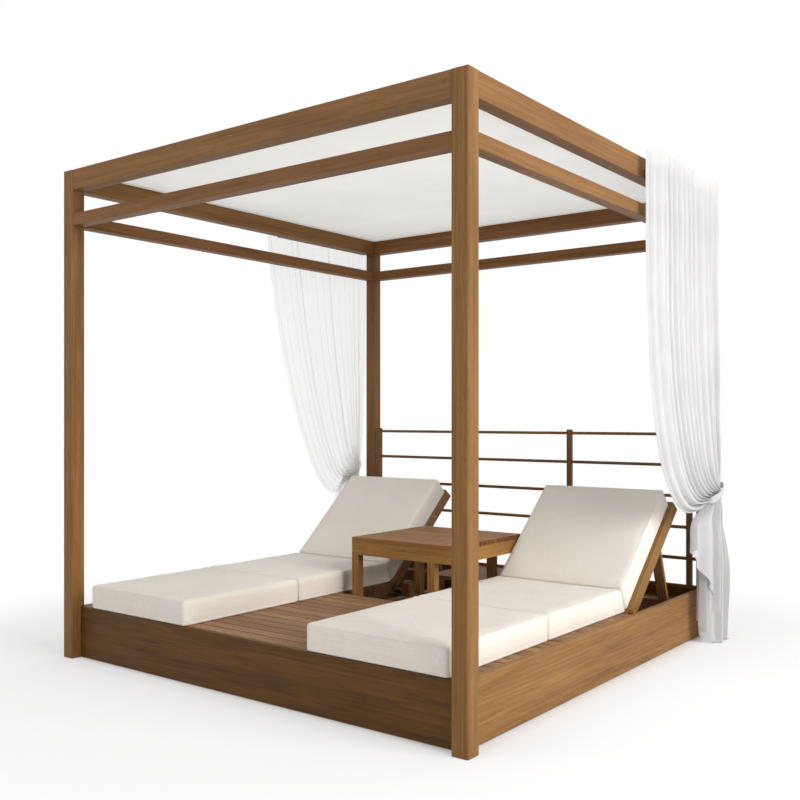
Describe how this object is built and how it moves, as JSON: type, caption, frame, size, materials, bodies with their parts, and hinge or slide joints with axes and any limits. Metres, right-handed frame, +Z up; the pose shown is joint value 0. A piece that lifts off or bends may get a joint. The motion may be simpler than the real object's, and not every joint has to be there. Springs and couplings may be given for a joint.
{
  "type": "outdoor daybed with canopy",
  "caption": "Square teak daybed with a cloth canopy, two padded loungers with hinged backs, a low slatted table, a rear railing and tied-back curtains.",
  "frame": {"origin": "on the ground, under the middle of the frame", "axes": "+X to the right and +Y to the rear, as seen by somebody standing at the open front; +Z up"},
  "size_m": [2.58, 2.33, 2.341],
  "materials": {
    "frame_teak": "oiled, satin, straight grain",
    "deck_teak": "oiled, worn matt",
    "railing_teak": "dark stained, satin",
    "cushion_fabric": "ecru outdoor canvas, plain weave",
    "canopy_fabric": "off-white canvas, matt",
    "curtain_fabric": "white sheer voile",
    "rod_steel": "stainless, satin"
  },
  "bodies": {
    "frame": {"post_front_left": "frame_teak", "post_front_right": "frame_teak", "post_rear_left": "frame_teak", "post_rear_right": "frame_teak", "upper_rail_left": "frame_teak", "upper_rail_right": "frame_teak", "upper_rail_front": "frame_teak", "upper_rail_rear": "frame_teak", "lower_rail_left": "frame_teak", "lower_rail_right": "frame_teak", "lower_rail_front": "frame_teak", "lower_rail_rear": "frame_teak", "base_panel_left": "frame_teak", "base_panel_right": "frame_teak", "base_panel_front": "frame_teak", "base_panel_rear": "frame_teak", "deck_front": "deck_teak", "deck_rear": "deck_teak", "deck_seat_left": "deck_teak", "deck_seat_right": "deck_teak", "joist_left": "frame_teak", "joist_right": "frame_teak", "side_ledger_left": "frame_teak", "side_ledger_right": "frame_teak", "prop_rest_left": "frame_teak", "prop_rest_right": "frame_teak", "foot_cushion_left": "cushion_fabric", "foot_cushion_right": "cushion_fabric", "seat_cushion_left": "cushion_fabric", "seat_cushion_right": "cushion_fabric", "hinge_rod_left": "rod_steel", "hinge_rod_right": "rod_steel", "railing_bar_1": "railing_teak", "railing_bar_2": "railing_teak", "railing_bar_3": "railing_teak", "railing_bar_4": "railing_teak", "railing_bar_5": "railing_teak", "railing_bar_6": "railing_teak", "railing_upright_1": "railing_teak", "railing_upright_2": "railing_teak", "railing_upright_3": "railing_teak", "railing_upright_4": "railing_teak", "canopy_cloth": "canopy_fabric", "curtain_batten_left": "frame_teak", "curtain_batten_right": "frame_teak", "curtain_left": "curtain_fabric", "curtain_right": "curtain_fabric", "curtain_tie_left": "curtain_fabric", "curtain_tie_right": "curtain_fabric"},
    "back_left": {"back_frame_left": "frame_teak", "back_cushion_left": "cushion_fabric", "prop_rod_left": "rod_steel"},
    "prop_left_body": {"prop_left": "frame_teak"},
    "back_right": {"back_frame_right": "frame_teak", "back_cushion_right": "cushion_fabric", "prop_rod_right": "rod_steel"},
    "prop_right_body": {"prop_right": "frame_teak"},
    "table": {"table_top": "frame_teak", "table_frame": "frame_teak"}
  },
  "joints": [
    {"name": "back_hinge_left", "type": "hinge", "parent": "frame", "child": "back_left", "pos_m": [-0.676, 0.342, 0.2], "axis": [1, 0, 0], "range_deg": [-30, 0]},
    {"name": "prop_hinge_left", "type": "hinge", "parent": "back_left", "child": "prop_left_body", "pos_m": [-0.676, 0.74519, 0.55922], "axis": [1, 0, 0], "range_deg": [-69, 0]},
    {"name": "back_hinge_right", "type": "hinge", "parent": "frame", "child": "back_right", "pos_m": [0.714, 0.342, 0.2], "axis": [1, 0, 0], "range_deg": [-30, 0]},
    {"name": "prop_hinge_right", "type": "hinge", "parent": "back_right", "child": "prop_right_body", "pos_m": [0.714, 0.74519, 0.55922], "axis": [1, 0, 0], "range_deg": [-69, 0]},
    {"name": "table_lift", "type": "slide", "parent": "frame", "child": "table", "axis": [0, 0, 1], "range_m": [0, 0.3]}
  ],
  "couplings": [
    {"joint": "prop_hinge_left", "follows": "back_hinge_left", "ratio": 2.27},
    {"joint": "prop_hinge_right", "follows": "back_hinge_right", "ratio": 2.27}
  ]
}
